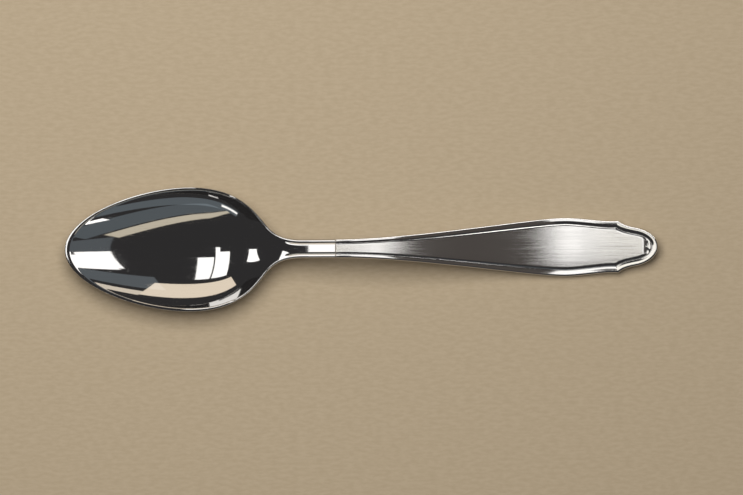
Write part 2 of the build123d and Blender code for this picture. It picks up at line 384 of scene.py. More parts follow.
@dataclass(frozen=True)
class SpoonForm:
    """Side view and metal of the spoon: heights of the upper face, thickness, edge heights."""

    plan: Plan = Plan()
    tip_rim: float = 8.2
    side_rim: float = 8.0
    heel_rim: float = 8.3
    heel_rise: float = 0.1
    deepest_run: float = 33.5
    wall_back: float = 6.2
    wall_height: float = 2.65
    lip_back: float = 1.0
    lip_height: float = 6.15
    shelf_lead: float = 3.9
    shelf_height: float = 8.25
    rise_lead: float = 3.0
    rise_height: float = 9.6
    apex_run: float = 18.0
    apex_height: float = 10.5
    low_back: float = 2.0
    low_height: float = 2.2
    end_height: float = 4.2
    tip_slope: float = 0.47
    end_slope: float = 0.14
    rim_gauge: float = 1.15
    bowl_gauge: float = 1.0
    heel_gauge: float = 2.2
    neck_gauge: float = 3.1
    belly_gauge: float = 2.1
    end_gauge: float = 2.0
    heel_edge: float = 1.5
    neck_edge: float = 2.4
    handle_edge: float = 1.4
    crown_radius: float = 80.0
    tip_start: float = 0.5
    tip_land: float = 0.45
    side_land: float = 0.75
    land_back: float = 9.0
    land_clear: float = 2.0
    land_blend: float = 0.2
    tip_fall: float = 0.27
    side_fall: float = 0.06

    @cached_property
    def top_line(self) -> Line:
        """Height of the upper face along the middle.

        Returns:
            The height as a line over x.
        """
        at = self.plan.places
        points = [
            (at["tip"], self.tip_rim),
            (at["tip"] + self.deepest_run, self.bowl_gauge),
            (at["heel"] - self.wall_back, self.wall_height),
            (at["heel"] - self.lip_back, self.lip_height),
            (at["heel"] + self.shelf_lead, self.shelf_height),
            (at["neck"] + self.rise_lead, self.rise_height),
            (at["neck"] + self.apex_run, self.apex_height),
            (at["belly"] - self.low_back, self.low_height),
            (at["end"], self.end_height),
        ]
        return Line.eased(points, -self.tip_slope, self.end_slope)

    @cached_property
    def rim_line(self) -> Line:
        """Height of the bowl's rim.

        Returns:
            The height as a line over x.
        """
        at = self.plan.places
        return Line.graded(
            (at["tip"], self.tip_rim, 0),
            (at["wide"], self.side_rim, 0),
            (at["heel"], self.heel_rim, self.heel_rise),
        )

    @cached_property
    def gauge_line(self) -> Line:
        """Thickness of the metal along the middle.

        Returns:
            The thickness as a line over x.
        """
        at = self.plan.places
        wall = at["heel"] - self.wall_back
        return Line.graded(
            (at["tip"], self.rim_gauge, 0),
            (at["tip"] + self.deepest_run, self.bowl_gauge, 0),
            (wall, self.rim_gauge, 0),
            (at["heel"], self.heel_gauge, (self.neck_gauge - self.rim_gauge) / (at["neck"] - wall)),
            (at["neck"], self.neck_gauge, 0),
            (at["belly"], self.belly_gauge, 0),
            (at["end"], self.end_gauge, 0),
        )

    def _bowl_half(self, x: Array) -> Array:
        """Half-width at x, from just behind the tip on."""
        return self.plan.half_width(np.maximum(x, self.plan.tip + self.tip_start))

    def _bowl_curvature(self, x: Array) -> Array:
        """Curvature of the arc that meets the rim line on the outline: 2 h / (w^2 + h^2).

        Args:
            x: Places along the bowl.

        Returns:
            The curvatures.
        """
        x = np.maximum(x, self.plan.tip + self.tip_start)
        half = self._bowl_half(x)
        lift = self.rim_line.at(x) - self.top_line.at(x)
        return 2 * lift / (half**2 + lift**2)

    def _bowl_edge(self, x: Array) -> Array:
        """Height of the bowl's edge, where the lower arc lies one thickness outside the upper.

        Args:
            x: Places along the bowl.

        Returns:
            The heights from the lower arc to the upper.
        """
        half = self._bowl_half(x)
        inner = 1 / self._bowl_curvature(x)
        outer = inner + self.gauge_line.at(x)
        lower, upper = (np.sqrt(np.maximum(arc**2 - half**2, 0)) for arc in (outer, inner))
        return lower - upper

    @cached_property
    def _neck_curvature(self) -> Line:
        """Curvature of the upper arc from the heel, where it leaves the bowl's, to the crown.

        Returns:
            The curvature as a line over x.
        """
        at = self.plan.places
        crown = (at["neck"], -1 / self.crown_radius, 0)
        return Line.graded(arriving(self._bowl_curvature, at["heel"]), crown)

    @cached_property
    def _edge_line(self) -> Line:
        """Height of the edge from the bowl's back wall to the handle.

        Returns:
            The height as a line over x.
        """
        at = self.plan.places
        return Line.graded(
            arriving(self._bowl_edge, at["heel"] - self.wall_back),
            (at["heel"], self.heel_edge, 0),
            (at["neck"], self.neck_edge, 0),
            (at["waist"], self.neck_edge, 0),
            (at["belly"], self.handle_edge, 0),
        )

    def curvature(self, x: Array) -> Array:
        """Curvature of the upper arc at each x: the bowl's up to the heel, then the neck's.

        Args:
            x: Places along the spoon.

        Returns:
            The curvatures.
        """
        heel = self.plan.places["heel"]
        bowl = self._bowl_curvature(np.minimum(x, heel))
        return np.where(x <= heel, bowl, self._neck_curvature.at(x))

    def top(self, x: Array, y: Array) -> Array:
        """Height of the upper face: the middle's line plus the arc across it."""
        return self.top_line.at(x) + bow(self.curvature(x), y)

    @cached_property
    def _land_drop(self) -> Line:
        """How far the land of the bowl's rim lies below the rim line; it runs out at the heel.

        Returns:
            The depth as a line over x.
        """
        at = self.plan.places
        return Line.graded(
            (at["tip"], self.tip_land, 0),
            (at["wide"], self.side_land, 0),
            (at["heel"] - self.land_back, self.side_land, 0),
            (at["heel"], -self.land_clear, 0),
        )

    @cached_property
    def _land_fall(self) -> Line:
        """How strongly the land falls outwards, from the bowl's tip to its widest place."""
        at = self.plan.places
        return Line.graded((at["tip"], self.tip_fall, 0), (at["wide"], self.side_fall, 0))

    def face(self, x: Array, y: Array) -> Array:
        """Height of the upper face with the rim's land: the lower of the two, blended.

        Where they differ by less than the blend b, b (1 - difference / b)^2 / 4 comes off. Outwards
        the land falls by a share of the square of what the plain wall would stand above it.

        Args:
            x: Places along the spoon.
            y: Places across it.

        Returns:
            The heights.
        """
        top, land = self.top(x, y), self.rim_line.at(x) - self._land_drop.at(x)
        near = np.clip(1 - np.abs(top - land) / self.land_blend, 0, 1)
        over = np.maximum(top - land, 0)
        blended = np.minimum(top, land) - self.land_blend * near**2 / 4
        return blended - self._land_fall.at(x) * over**2

    def back(self, x: Array, y: Array) -> Array:
        """Height of the lower face, an arc one thickness below the upper face in the middle.

        It leaves the stated height at the edge, so its rise there is the upper arc's plus thickness
        minus edge.

        Args:
            x: Places along the spoon.
            y: Places across it.

        Returns:
            The heights.
        """
        at = self.plan.places
        wall = at["heel"] - self.wall_back
        half = self._bowl_half(np.minimum(x, at["shoulder"]))
        edge = np.where(x <= wall, self._bowl_edge(np.minimum(x, wall)), self._edge_line.at(x))
        gauge = self.gauge_line.at(x)
        lift = bow(self.curvature(x), half) + gauge - edge
        return self.top_line.at(x) - gauge + bow(2 * lift / (half**2 + lift**2), y)


@dataclass(frozen=True)
class ThreadBorder:
    """Half-round bead along the edge, a groove inside it, the panel's bevel, and its two-lobed end.

    Places across the border are given in widths of the bead, from the outline inwards. The relief
    is that of the full bead and shrinks with the bead's width.
    """

    plan: Plan = Plan()
    bowl_band: float = 1.2
    neck_bead: float = 0.75
    handle_bead: float = 1.2
    groove_start: float = 1.18
    groove_end: float = 1.30
    bevel_end: float = 1.90
    bead_fall: float = 0.22
    groove_dip: float = 0.03
    bevel_fall: float = 0.28
    lead: float = 3.5
    fade: float = 1.8
    lobe_setback: float = 3.15
    lobe_spread: float = 1.3
    lobe_radius: float = 1.26
    lobe_lead: float = 0.75
    lobe_fall: float = 0.24
    lobe_ridge: float = 0.2
    lobe_slope: float = 0.5
    lobe_taper: float = 1.2

    @cached_property
    def width(self) -> Line:
        """Width of the bead; on the bowl, of the plain band that the same grid lines follow.

        Returns:
            The width as a line over x.
        """
        at = self.plan.places
        return Line.graded(
            (at["wide"], self.bowl_band, 0),
            (at["neck"] - self.lead, self.neck_bead, 0),
            (at["waist"], self.neck_bead, 0),
            (at["belly"], self.handle_bead, 0),
        )

    def strength(self, x: Array) -> Array:
        """Share of the full relief at x: none on the bowl, then in step with the bead's width."""
        start = self.plan.places["neck"] - self.lead - self.fade / 2
        return eased_step(x, start, start + self.fade) * self.width.at(x) / self.handle_bead

    def bead_relief(self, share: Array) -> Array:
        """Bead from its outer round, share 0, to the groove, share 1: a parabola."""
        return -self.bead_fall * share**2

    def groove_relief(self, share: Array) -> Array:
        """Groove from the bead, share 0, to the bevel, share 1: a half sine below both its lips."""
        lips = self.bead_fall * (1 - share) + self.bevel_fall * share
        return -lips - self.groove_dip * np.sin(math.pi * share)

    def bevel_relief(self, share: Array) -> Array:
        """Bevel from the groove, share 0, to the flat panel, share 1: a parabola."""
        return -self.bevel_fall * (1 - share) ** 2

    def lobe_relief(self, x: Array, y: Array) -> Array:
        """End of the panel: a fall along X up to a ridge in two arcs that meet in a cusp.

        The fall is a parabola that begins a lead before the arcs' middles. The arcs' wall rises in
        a straight slope up to the circle round each middle, where the ridge lies a little under the
        panel, and behind the middles it tapers off. The higher of fall and wall holds.

        Args:
            x: Places along the spoon.
            y: Places across it.

        Returns:
            The relief, 0 or less.
        """
        ahead = x - (self.plan.places["end"] - self.lobe_setback)
        fall = -self.lobe_fall * np.maximum(ahead + self.lobe_lead, 0) ** 2
        apart = np.hypot(np.maximum(ahead, 0), np.abs(y) - self.lobe_spread)
        outside = apart - self.lobe_radius + self.lobe_taper * np.minimum(ahead, 0)
        wall = self.lobe_slope * np.minimum(outside, 0) - self.lobe_ridge
        return np.maximum(fall, wall)


@dataclass(frozen=True)
class BrazedJoint:
    """Plane of the joint, square to the neck, and the film of filler in it."""

    form: SpoonForm = SpoonForm()
    gap: float = 0.3
    reach: float = 6.0

    @cached_property
    def place(self) -> float:
        """X of the joint's middle."""
        return self.form.plan.places["waist"]

    @cached_property
    def lean(self) -> float:
        """Slope of the neck at the joint."""
        return self.form.top_line.slope_at(self.place)

    @cached_property
    def height(self) -> float:
        """Z of the joint's middle, half a thickness below the upper face."""
        return float(self.form.top_line.at(self.place) - self.form.gauge_line.at(self.place) / 2)

    def seat(self, points: Array, shift: float) -> Array:
        """Lean the sections near the joint until the last lies in a plane square to the neck.

        A point moves along X by shift less its height above the joint's middle times the lean, in a
        share that grows from 0 at reach from the joint to 1 at the joint.

        Args:
            points: Points, in millimetres.
            shift: Distance of the plane from the joint's middle, along the neck.

        Returns:
            The moved points.
        """
        share = 1 - eased_step(np.abs(points[..., 0] - self.place), 0, self.reach)
        along = shift * math.hypot(1, self.lean) - self.lean * (points[..., 2] - self.height)
        return points + np.stack([share * along, 0 * along, 0 * along], axis=-1)


@dataclass(frozen=True)
class SectionLay:
    """How many points lie on each stretch of one half of a section."""

    panel: int = 44
    bevel: int = 9
    groove: int = 5
    bead: int = 11
    edge: int = 10
    wall: int = 3
    under: int = 7
    back: int = 38


@dataclass(frozen=True)
class SpoonSkin:
    """Skin of the spoon as closed sections carried along the outline.

    Each section starts on the middle of the upper face, runs over panel, bevel, groove, bead and
    rounded edge to the outline, down the wall, round the lower edge and along the back to the
    middle, and returns on the other side.
    """

    form: SpoonForm = SpoonForm()
    thread: ThreadBorder = ThreadBorder()
    lay: SectionLay = SectionLay()
    steps: tuple[int, ...] = (110, 70, 50, 34, 130, 48, 44, 64)
    rim_round: float = 0.15
    bead_round: float = 0.45
    back_round: float = 0.3
    tip_gather: float = 12.0
    tip_reach: float = 40.0
    end_gather: float = 3.0
    end_reach: float = 10.0
    satin_start: float = 8.0
    satin_fade: float = 0.4
    probe: float = 0.04
    probe_rounds: int = 4

    @cached_property
    def edge_round(self) -> Line:
        """Radius of the upper edge: small round the bowl's rim, larger along the bead."""
        at = self.form.plan.places
        return Line.graded((at["wide"], self.rim_round, 0), (at["neck"], self.bead_round, 0))

    def _spine(self, x: Array) -> Array:
        """X on the middle that a section whose panel starts at x runs to, drawn in from both ends.

        Each draw is a gather times the cube of the share of its reach that is left.

        Args:
            x: Where the sections' panels start.

        Returns:
            Where they meet the middle.
        """
        at = self.form.plan.places
        tip = np.clip(1 - (x - at["tip"]) / self.tip_reach, 0, 1)
        end = np.clip(1 - (at["end"] - x) / self.end_reach, 0, 1)
        return x + self.tip_gather * tip**3 - self.end_gather * end**3

    def _rounding(self, face: Callable[[Array, Array], Array], edge: Array, inward: Array,
                  radius: Array, sign: int) -> tuple[Array, Array, Array]:
        """Where a rounded edge of this radius touches a face, found by a few corrected steps.

        The round touches the wall at the outline and the face at r (1 + s m / sqrt(1 + m^2)) inside
        it, where m is the face's rise towards the outline and s the side of the face.

        Args:
            face: Height of the face at x and y.
            edge: Points of the outline.
            inward: Step inwards at each.
            radius: Radius of the round at each.
            sign: 1 for the upper face, -1 for the lower.

        Returns:
            Distance inside the outline, rise towards it, and height of the round's centre.
        """
        rise = np.zeros(len(edge))
        for _ in range(self.probe_rounds):
            reach = radius * (1 + sign * rise / np.hypot(1, rise))
            near = edge + reach[:, None] * inward
            far = near + self.probe * inward
            rise = (face(*near.T) - face(*far.T)) / self.probe
        reach = radius * (1 + sign * rise / np.hypot(1, rise))
        near = edge + reach[:, None] * inward
        return reach, rise, face(*near.T) - sign * radius / np.hypot(1, rise)

    def half_sections(self, curves: range) -> tuple[Array, Array]:
        """One side of the sections along these curves of the outline, and their satin share.

        Args:
            curves: Curves of the outline, by number.

        Returns:
            Points of shape (sections, points, 3), and the satin share at each of them.
        """
        outline, lay, thread = self.form.plan.outline, self.lay, self.thread
        width = thread.width.at(outline.poles[:, 0])[:, None]
        edge = outline.carry(outline.poles, curves, self.steps)
        inward = outline.carry(outline.inward, curves, self.steps)
        across = outline.carry(outline.inward * width, curves, self.steps)

        def place(bead: Array, extra: Array) -> Array:
            """Plan points at a share of the bead's width plus an extra distance inwards."""
            banded = edge[:, None] + bead[..., None] * across[:, None]
            return banded + extra[..., None] * inward[:, None]

        def lifted(plan: Array, relief: Array, panel: Array) -> Array:
            """Points of the upper face with relief.

            Args:
                plan: The points in plan.
                relief: The thread's full relief at each.
                panel: Share of the lobes' relief at each.

            Returns:
                The points in space.
            """
            x, y = plan[..., 0], plan[..., 1]
            threaded = self.form.face(x, y) + thread.strength(x) * relief
            return np.stack([x, y, threaded + panel * thread.lobe_relief(x, y)], axis=-1)

        def shares(count: int, low: float = 0.0, high: float = 1.0) -> Array:
            """This many even steps from low, which is left out, to high, for each section."""
            even = np.linspace(0, 1, count + 1)[None, 1:] * np.ones((len(edge), 1))
            return low + (high - low) * even

        def rounded(turn: Array, radius: Array, centre: Array) -> Array:
            """Points of a rounded edge.

            Args:
                turn: Their angles, from the wall, at pi, round to the face.
                radius: The edge's radius at each section.
                centre: Height of the round's centre at each section.

            Returns:
                The points in space.
            """
            depth, height = radius[:, None] * (1 + np.cos(turn)), radius[:, None] * np.sin(turn)
            plan = edge[:, None] + depth[..., None] * inward[:, None]
            return np.dstack([plan, centre[:, None] + height])

        upper_round = self.edge_round.at(edge[:, 0])
        lower_round = np.full(len(edge), self.back_round)
        touch, rise, centre = self._rounding(self.form.face, edge, inward, upper_round, 1)
        under, fall, lower = self._rounding(self.form.back, edge, inward, lower_round, -1)

        share = shares(lay.bead)
        bead_plan = place(thread.groove_start * share, touch[:, None] * (1 - share))
        bead = lifted(bead_plan, thread.bead_relief(share), 0 * share)
        share = shares(lay.groove)
        groove_plan = place(shares(lay.groove, thread.groove_start, thread.groove_end), 0 * share)
        groove = lifted(groove_plan, thread.groove_relief(share), 0 * share)
        share = shares(lay.bevel)
        bevel_plan = place(shares(lay.bevel, thread.groove_end, thread.bevel_end), 0 * share)
        bevel = lifted(bevel_plan, thread.bevel_relief(share), share)

        start = bevel_plan[:, -1]
        middle = np.column_stack([self._spine(start[:, 0]), 0 * start[:, 0]])
        share = np.linspace(0, 1, lay.panel + 1)[1:, None]
        flat = 0 * share[:, 0]
        panel = lifted(start[:, None] + share * (middle - start)[:, None], flat, flat + 1)

        turn = np.linspace(0, 1, lay.edge + 1)[None]
        edge_turn = math.pi + turn * (np.arctan2(1, rise) - math.pi)[:, None]
        edge_arc = rounded(edge_turn, upper_round, centre)
        turn = np.linspace(0, 1, lay.under + 1)[None]
        under_turn = math.pi + turn * np.arctan2(1, fall)[:, None]
        under_arc = rounded(under_turn, lower_round, lower)
        share = np.linspace(0, 1, lay.wall + 2)[None, 1:-1, None]
        wall = edge_arc[:, :1] + share * (under_arc[:, :1] - edge_arc[:, :1])
        share = np.linspace(0, 1, lay.back + 1)[1:, None]
        seat = (edge + under[:, None] * inward)[:, None]
        back = seat + share * (middle[:, None] - seat)
        back = np.dstack([back, self.form.back(back[..., 0], back[..., 1])])

        upper = np.concatenate([edge_arc, bead, groove, bevel, panel], axis=1)[:, ::-1]
        points = np.concatenate([upper, wall, under_arc, back], axis=1)
        satin = np.zeros(points.shape[:2])
        inside = lay.panel + lay.bevel // 2
        start = self.form.plan.places["neck"] + self.satin_start
        satin[:, :inside] = eased_step(points[:, :inside, 0], start, start + self.satin_fade)
        return points, satin

    def sections(self, curves: range) -> tuple[Array, Array]:
        """Whole sections: one side, then its mirror image back to the start.

        Args:
            curves: Curves of the outline, by number.

        Returns:
            Points of shape (sections, points, 3), and the satin share at each of them.
        """
        points, satin = self.half_sections(curves)
        other = points[:, -2:0:-1] * np.array([1, -1, 1])
        whole_satin = np.concatenate([satin, satin[:, -2:0:-1]], axis=1)
        return np.concatenate([points, other], axis=1), whole_satin


def sew(name: str, points: Array, folds: Sequence[int], caps: Sequence[int],
        satin: Array | None = None) -> bpy.types.Object:
    """Closed mesh object through sections that lie one after the other.

    Neighbouring sections are joined by quads whose faces point outwards. A folded section has its
    two sides on one line, so the points of one side are shared by the other. A capped section is
    closed by triangles to its middle.

    Args:
        name: Name of the object.
        points: Points of shape (sections, points, 3), in millimetres.
        folds: Numbers of the folded sections.
        caps: Numbers of the capped sections.
        satin: Satin share of each point, kept as a mesh attribute.

    Returns:
        The object, linked to the scene.
    """
    rows, around = points.shape[:2]
    index = np.arange(rows * around).reshape(rows, around)
    half = np.arange(1, around // 2)
    for row in folds:
        index[row, around - half] = index[row, half]
    turned = np.roll(index, -1, axis=1)
    quads = np.stack([index[:-1], index[1:], turned[1:], turned[:-1]], axis=-1).reshape(-1, 4)
    places = points.reshape(-1, 3)
    faces = quads.tolist()
    for row in caps:
        places = np.vstack([places, points[row].mean(axis=0)])
        hub = np.full(around, len(places) - 1)
        fan = [hub, index[row], turned[row]] if row == 0 else [hub, turned[row], index[row]]
        faces += np.stack(fan, axis=-1).tolist()
    mesh = bpy.data.meshes.new(name)
    mesh.from_pydata((places * MM).tolist(), [], faces, shade_flat=False)
    if satin is not None:
        share = np.concatenate([satin.ravel(), np.zeros(len(places) - satin.size)])
        mesh.attributes.new("satin", "FLOAT", "POINT").data.foreach_set("value", share)
    mesh.set_sharp_from_angle(angle=SHARP_ANGLE)
    piece = bpy.data.objects.new(name, mesh)
    bpy.context.scene.collection.objects.link(piece)
    return piece


class Wire:
    """Value socket of a finish's graph; arithmetic on it adds Math nodes."""

    def __init__(self, graph: "Graph", socket: bpy.types.NodeSocket) -> None:
        """Keep the graph and the socket."""
        self.graph = graph
        self.socket = socket

    def _math(self, operation: str, first: Any, second: Any) -> "Wire":
        """Result of a Math node on two values."""
        values = {0: first, 1: second}
        return self.graph.add("ShaderNodeMath", {"operation": operation}, values)["Value"]

    def __add__(self, other: Any) -> "Wire":
        """Sum."""
        return self._math("ADD", self, other)

    def __sub__(self, other: Any) -> "Wire":
        """Difference."""
        return self._math("SUBTRACT", self, other)

    def __rsub__(self, other: Any) -> "Wire":
        """Difference from a number."""
        return self._math("SUBTRACT", other, self)

    def __mul__(self, other: Any) -> "Wire":
        """Product."""
        return self._math("MULTIPLY", self, other)

    __radd__ = __add__
    __rmul__ = __mul__


@dataclass(frozen=True)
class Streak:
    """Noise that is drawn out along the spoon and turned in plan.

    Args:
        pitch: Length of a streak in millimetres along X, Y and Z.
        turn: Angle in plan.
        detail: Octaves of finer noise.
        weight: Share of each octave in the one before.
    """

    pitch: Triple
    turn: float = 0.0
    detail: float = 0.0
    weight: float = 0.6


class Graph:
    """Node graph of one finish."""

    def __init__(self, name: str) -> None:
        """Start an empty material.

        Args:
            name: Name of the material.
        """
        self.material = bpy.data.materials.new(name)
        self.material.use_nodes = True
        self.tree = self.material.node_tree
        self.tree.nodes.clear()

    def add(self, kind: str, settings: dict[str, Any],
            sockets: dict[str | int, Any]) -> dict[str, Wire]:
        """Add a node.

        Args:
            kind: Type of the node.
            settings: Its settings, set before its sockets.
            sockets: Value or wire of each input, by name or number.

        Returns:
            Its outputs by name.
        """
        node = self.tree.nodes.new(kind)
        for key, value in settings.items():
            setattr(node, key, value)
        for key, value in sockets.items():
            if isinstance(value, Wire):
                self.tree.links.new(value.socket, node.inputs[key])
            else:
                node.inputs[key].default_value = value
        return {socket.name: Wire(self, socket) for socket in node.outputs if socket.enabled}

    def streaks(self, streak: Streak) -> Wire:
        """Noise at each point of the piece.

        Args:
            streak: Its lengths, angle and detail.

        Returns:
            Noise from 0 to 1.
        """
        place = self.add("ShaderNodeTexCoord", {}, {})["Object"]
        mapped = self.add("ShaderNodeMapping", {"vector_type": "POINT"}, {
            "Vector": place,
            "Rotation": (0, 0, streak.turn),
            "Scale": tuple(1 / (length * MM) for length in streak.pitch),
        })["Vector"]
        return self.add("ShaderNodeTexNoise", {"noise_dimensions": "3D"}, {
            "Vector": mapped,
            "Scale": 1.0,
            "Detail": streak.detail,
            "Roughness": streak.weight,
        })["Fac"]

    def between(self, value: Wire, low: float, high: float) -> Wire:
        """Share from 0 where a value is low to 1 where it is high, level at both."""
        return self.add("ShaderNodeMapRange", {"interpolation_type": "SMOOTHSTEP"},
                        {"Value": value, "From Min": low, "From Max": high})["Result"]

    def tint(self, share: Wire, first: Triple, second: Triple) -> Wire:
        """Colour between two colours."""
        colours = {"Factor": share, MIX_FIRST: (*first, 1), MIX_SECOND: (*second, 1)}
        return self.add("ShaderNodeMix", {"data_type": "RGBA"}, colours)["Result"]

    def bump(self, height: Wire, strength: float, distance: float) -> Wire:
        """Normal bent by a height, whose full range is this many millimetres."""
        sockets = {"Height": height, "Strength": strength, "Distance": distance * MM}
        return self.add("ShaderNodeBump", {}, sockets)["Normal"]

    def surface(self, sockets: dict[str | int, Any]) -> bpy.types.Material:
        """Close the graph with its shader.

        Args:
            sockets: Value or wire of each of the shader's inputs, by name.

        Returns:
            The material.
        """
        shader = self.add("ShaderNodeBsdfPrincipled", {}, sockets)["BSDF"]
        self.add("ShaderNodeOutputMaterial", {}, {"Surface": shader})
        return self.material


@dataclass(frozen=True)
class SpoonSteel:
    """Stainless steel: mirror polish with fine wiping scratches, lengthwise satin on the panel."""

    name: str
    polish: float
    satin: float
    light: Triple = (0.66, 0.65, 0.64)
    dark: Triple = (0.60, 0.59, 0.58)
    coarse: Streak = Streak((60, 0.5, 90), detail=2.0)
    fine: Streak = Streak((25, 0.03, 90))
    coarse_share: float = 0.2
    satin_spread: float = 0.06
    satin_depth: float = 0.01
    wipe: Streak = Streak((7, 0.10, 0.6), turn=0.5, detail=1.0)
    wipe_range: Pair = (0.66, 0.74)
    rub: Streak = Streak((9, 0.12, 0.6), turn=-0.9, detail=1.0)
    rub_range: Pair = (0.67, 0.75)
    scratch: float = 0.10
    scratch_height: float = 0.02
    haze: Streak = Streak((14, 9, 9), turn=0.3, detail=3.0)
    haze_range: Pair = (0.40, 0.72)
    haze_depth: float = 0.02
    bump: float = 0.6

    def material(self) -> bpy.types.Material:
        """Finish whose satin zone follows the mesh's satin share.

        Returns:
            The material.
        """
        graph = Graph(self.name)
        zone = graph.add("ShaderNodeAttribute", {"attribute_name": "satin"}, {})["Fac"]
        coarse = graph.streaks(self.coarse)
        fine = graph.streaks(self.fine)
        brushed = coarse * self.coarse_share + fine * (1 - self.coarse_share)
        wipe = graph.between(graph.streaks(self.wipe), *self.wipe_range)
        rub = graph.between(graph.streaks(self.rub), *self.rub_range)
        haze = graph.between(graph.streaks(self.haze), *self.haze_range)
        scratches = wipe + rub
        mirror = haze * self.haze_depth + scratches * self.scratch + self.polish
        matt = brushed * self.satin_spread + (self.satin - self.satin_spread / 2)
        roughness = mirror + (matt - mirror) * zone
        height = fine * zone + scratches * self.scratch_height
        return graph.surface({
            "Base Color": graph.tint(brushed, self.dark, self.light),
            "Metallic": 1.0,
            "Roughness": roughness,
            "Normal": graph.bump(height, self.bump, self.satin_depth),
        })


@dataclass(frozen=True)
class FillerMetal:
    """Dull filler in the brazed seam."""

    name: str
    light: Triple = (0.42, 0.40, 0.37)
    dark: Triple = (0.28, 0.26, 0.24)
    grain: Streak = Streak((0.3, 0.3, 0.3), detail=3.0)
    dull: float = 0.4
    dull_spread: float = 0.2
    bump: float = 0.3
    depth: float = 0.02

    def material(self) -> bpy.types.Material:
        """Grainy grey metal.

        Returns:
            The material.
        """
        graph = Graph(self.name)
        grain = graph.streaks(self.grain)
        return graph.surface({
            "Base Color": graph.tint(grain, self.dark, self.light),
            "Metallic": 1.0,
            "Roughness": grain * self.dull_spread + (self.dull - self.dull_spread / 2),
            "Normal": graph.bump(grain, self.bump, self.depth),
        })


@dataclass(frozen=True)
class PaleBoard:
    """Plain pale board under the spoon, with a faint fibre."""

    name: str
    light: Triple = (0.475, 0.379, 0.257)
    dark: Triple = (0.432, 0.341, 0.225)
    fibre: Streak = Streak((2.2, 0.7, 0.7), detail=5.0)
    fibre_range: Pair = (0.3, 0.7)
    dull: float = 0.85
    bump: float = 0.10
    depth: float = 0.04

    def material(self) -> bpy.types.Material:
        """Matt board.

        Returns:
            The material.
        """
        graph = Graph(self.name)
        fibre = graph.streaks(self.fibre)
        pale = graph.between(fibre, *self.fibre_range)
        return graph.surface({
            "Base Color": graph.tint(pale, self.dark, self.light),
            "Roughness": self.dull,
            "Normal": graph.bump(fibre, self.bump, self.depth),
        })


@dataclass
class Piece:
    """A piece of the spoon: its skin, the solid that it stands for and its finish."""

    name: str
    node: str
    slot: str
    finish: SpoonSteel | FillerMetal
    skin: SpoonSkin = field(default_factory=SpoonSkin)
    joint: BrazedJoint = field(default_factory=BrazedJoint)

    def dress(self, piece: bpy.types.Object) -> bpy.types.Object:
        """Give a piece its finish, hang it on the root body and hide the solid that it stands for.

        Args:
            piece: The piece's object.

        Returns:
            The same object.
        """
        piece.data.materials.append(self.finish.material())
        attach(piece, "root")
        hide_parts(self.node)
        log.info("%s: %d faces", piece.name, len(piece.data.polygons))
        return piece


@dataclass
class Bowl(Piece):
    """Drawn bowl with its heel and the root of the neck."""

    curves: range = range(0, 4)

    def build(self) -> bpy.types.Object:
        """Skin from the bowl's tip, where the sections fold, to the joint, where they are capped.

        Returns:
            The dressed piece.
        """
        points, satin = self.skin.sections(self.curves)
        points = self.joint.seat(points, Side.BOWL.value * self.joint.gap / 2)
        return self.dress(sew(self.name, points, [0], [len(points) - 1], satin))


@dataclass
class Handle(Piece):
    """Struck handle from the joint to the rounded end."""

    curves: range = range(4, 8)

    def build(self) -> bpy.types.Object:
        """Skin from the joint, where the sections are capped, to the end, where they fold.

        Returns:
            The dressed piece.
        """
        points, satin = self.skin.sections(self.curves)
        points = self.joint.seat(points, Side.HANDLE.value * self.joint.gap / 2)
        return self.dress(sew(self.name, points, [len(points) - 1], [0], satin))


@dataclass
class BrazeSeam(Piece):
    """Film of filler between bowl and handle."""

    curves: range = range(3, 4)
    sink: float = 0.05
    rows: int = 7

    def build(self) -> bpy.types.Object:
        """Last section of the neck, carried across the gap and drawn in towards its middle.

        The drawing in is a half sine across the gap, so the film is a shallow groove.

        Returns:
            The dressed piece.
        """
        points, _ = self.skin.sections(self.curves)
        ring = points[-1]
        across = np.linspace(-0.5, 0.5, self.rows)[:, None]
        inward = ring.mean(axis=0) - ring
        inward = inward / np.linalg.norm(inward, axis=1)[:, None]
        film = ring + (self.sink * np.cos(math.pi * across))[..., None] * inward
        film = np.stack([self.joint.seat(row, shift * self.joint.gap)
                         for row, shift in zip(film, across[:, 0])])
        return self.dress(sew(self.name, film, [], [0, self.rows - 1]))


@dataclass(frozen=True)
class SoftPane:
    """Soft rectangular light between two corners, in metres; one of its three sides has no length.

    A level pane may be turned about its middle.
    """

    name: str
    low: Triple
    high: Triple
    radiance: float
    glow: Glow
    lights: Lit = Lit.ALL
    turn: float = 0.0

    @classmethod
    def overhead(cls, name: str, across: Pair, deep: Pair, *rest: Any) -> "SoftPane":
        """Level pane at the ceiling, between two ends along X and two along Y."""
        low, high = zip(across, deep, (CEILING, CEILING))
        return cls(name, low, high, *rest)

    def hang(self, groups: dict[Lit, bpy.types.Collection]) -> None:
        """Make the light; it faces down, or inwards where it stands upright.

        Its power is pi times its radiance times its area.

        Args:
            groups: The pieces that a lamp may be kept to.
        """
        low, high = np.array(self.low), np.array(self.high)
        size, middle = high - low, (low + high) / 2
        lamp = bpy.data.lights.new(self.name, "AREA")
        lamp.shape = "RECTANGLE"
        lamp.color = self.glow.value
        light = bpy.data.objects.new(self.name, lamp)
        light.location = middle
        flat = int(np.argmin(size))
        if flat == 0:
            lamp.size, lamp.size_y = size[2], size[1]
            light.rotation_euler = (0, math.copysign(math.pi / 2, middle[0]), 0)
        elif flat == 1:
            lamp.size, lamp.size_y = size[0], size[2]
            light.rotation_euler = (math.copysign(math.pi / 2, -middle[1]), 0, 0)
        else:
            lamp.size, lamp.size_y = size[0], size[1]
            light.rotation_euler = (0, 0, self.turn)
        lamp.energy = self.radiance * math.pi * lamp.size * lamp.size_y
        light.visible_camera = False
        light.light_linking.receiver_collection = groups.get(self.lights)
        bpy.context.scene.collection.objects.link(light)


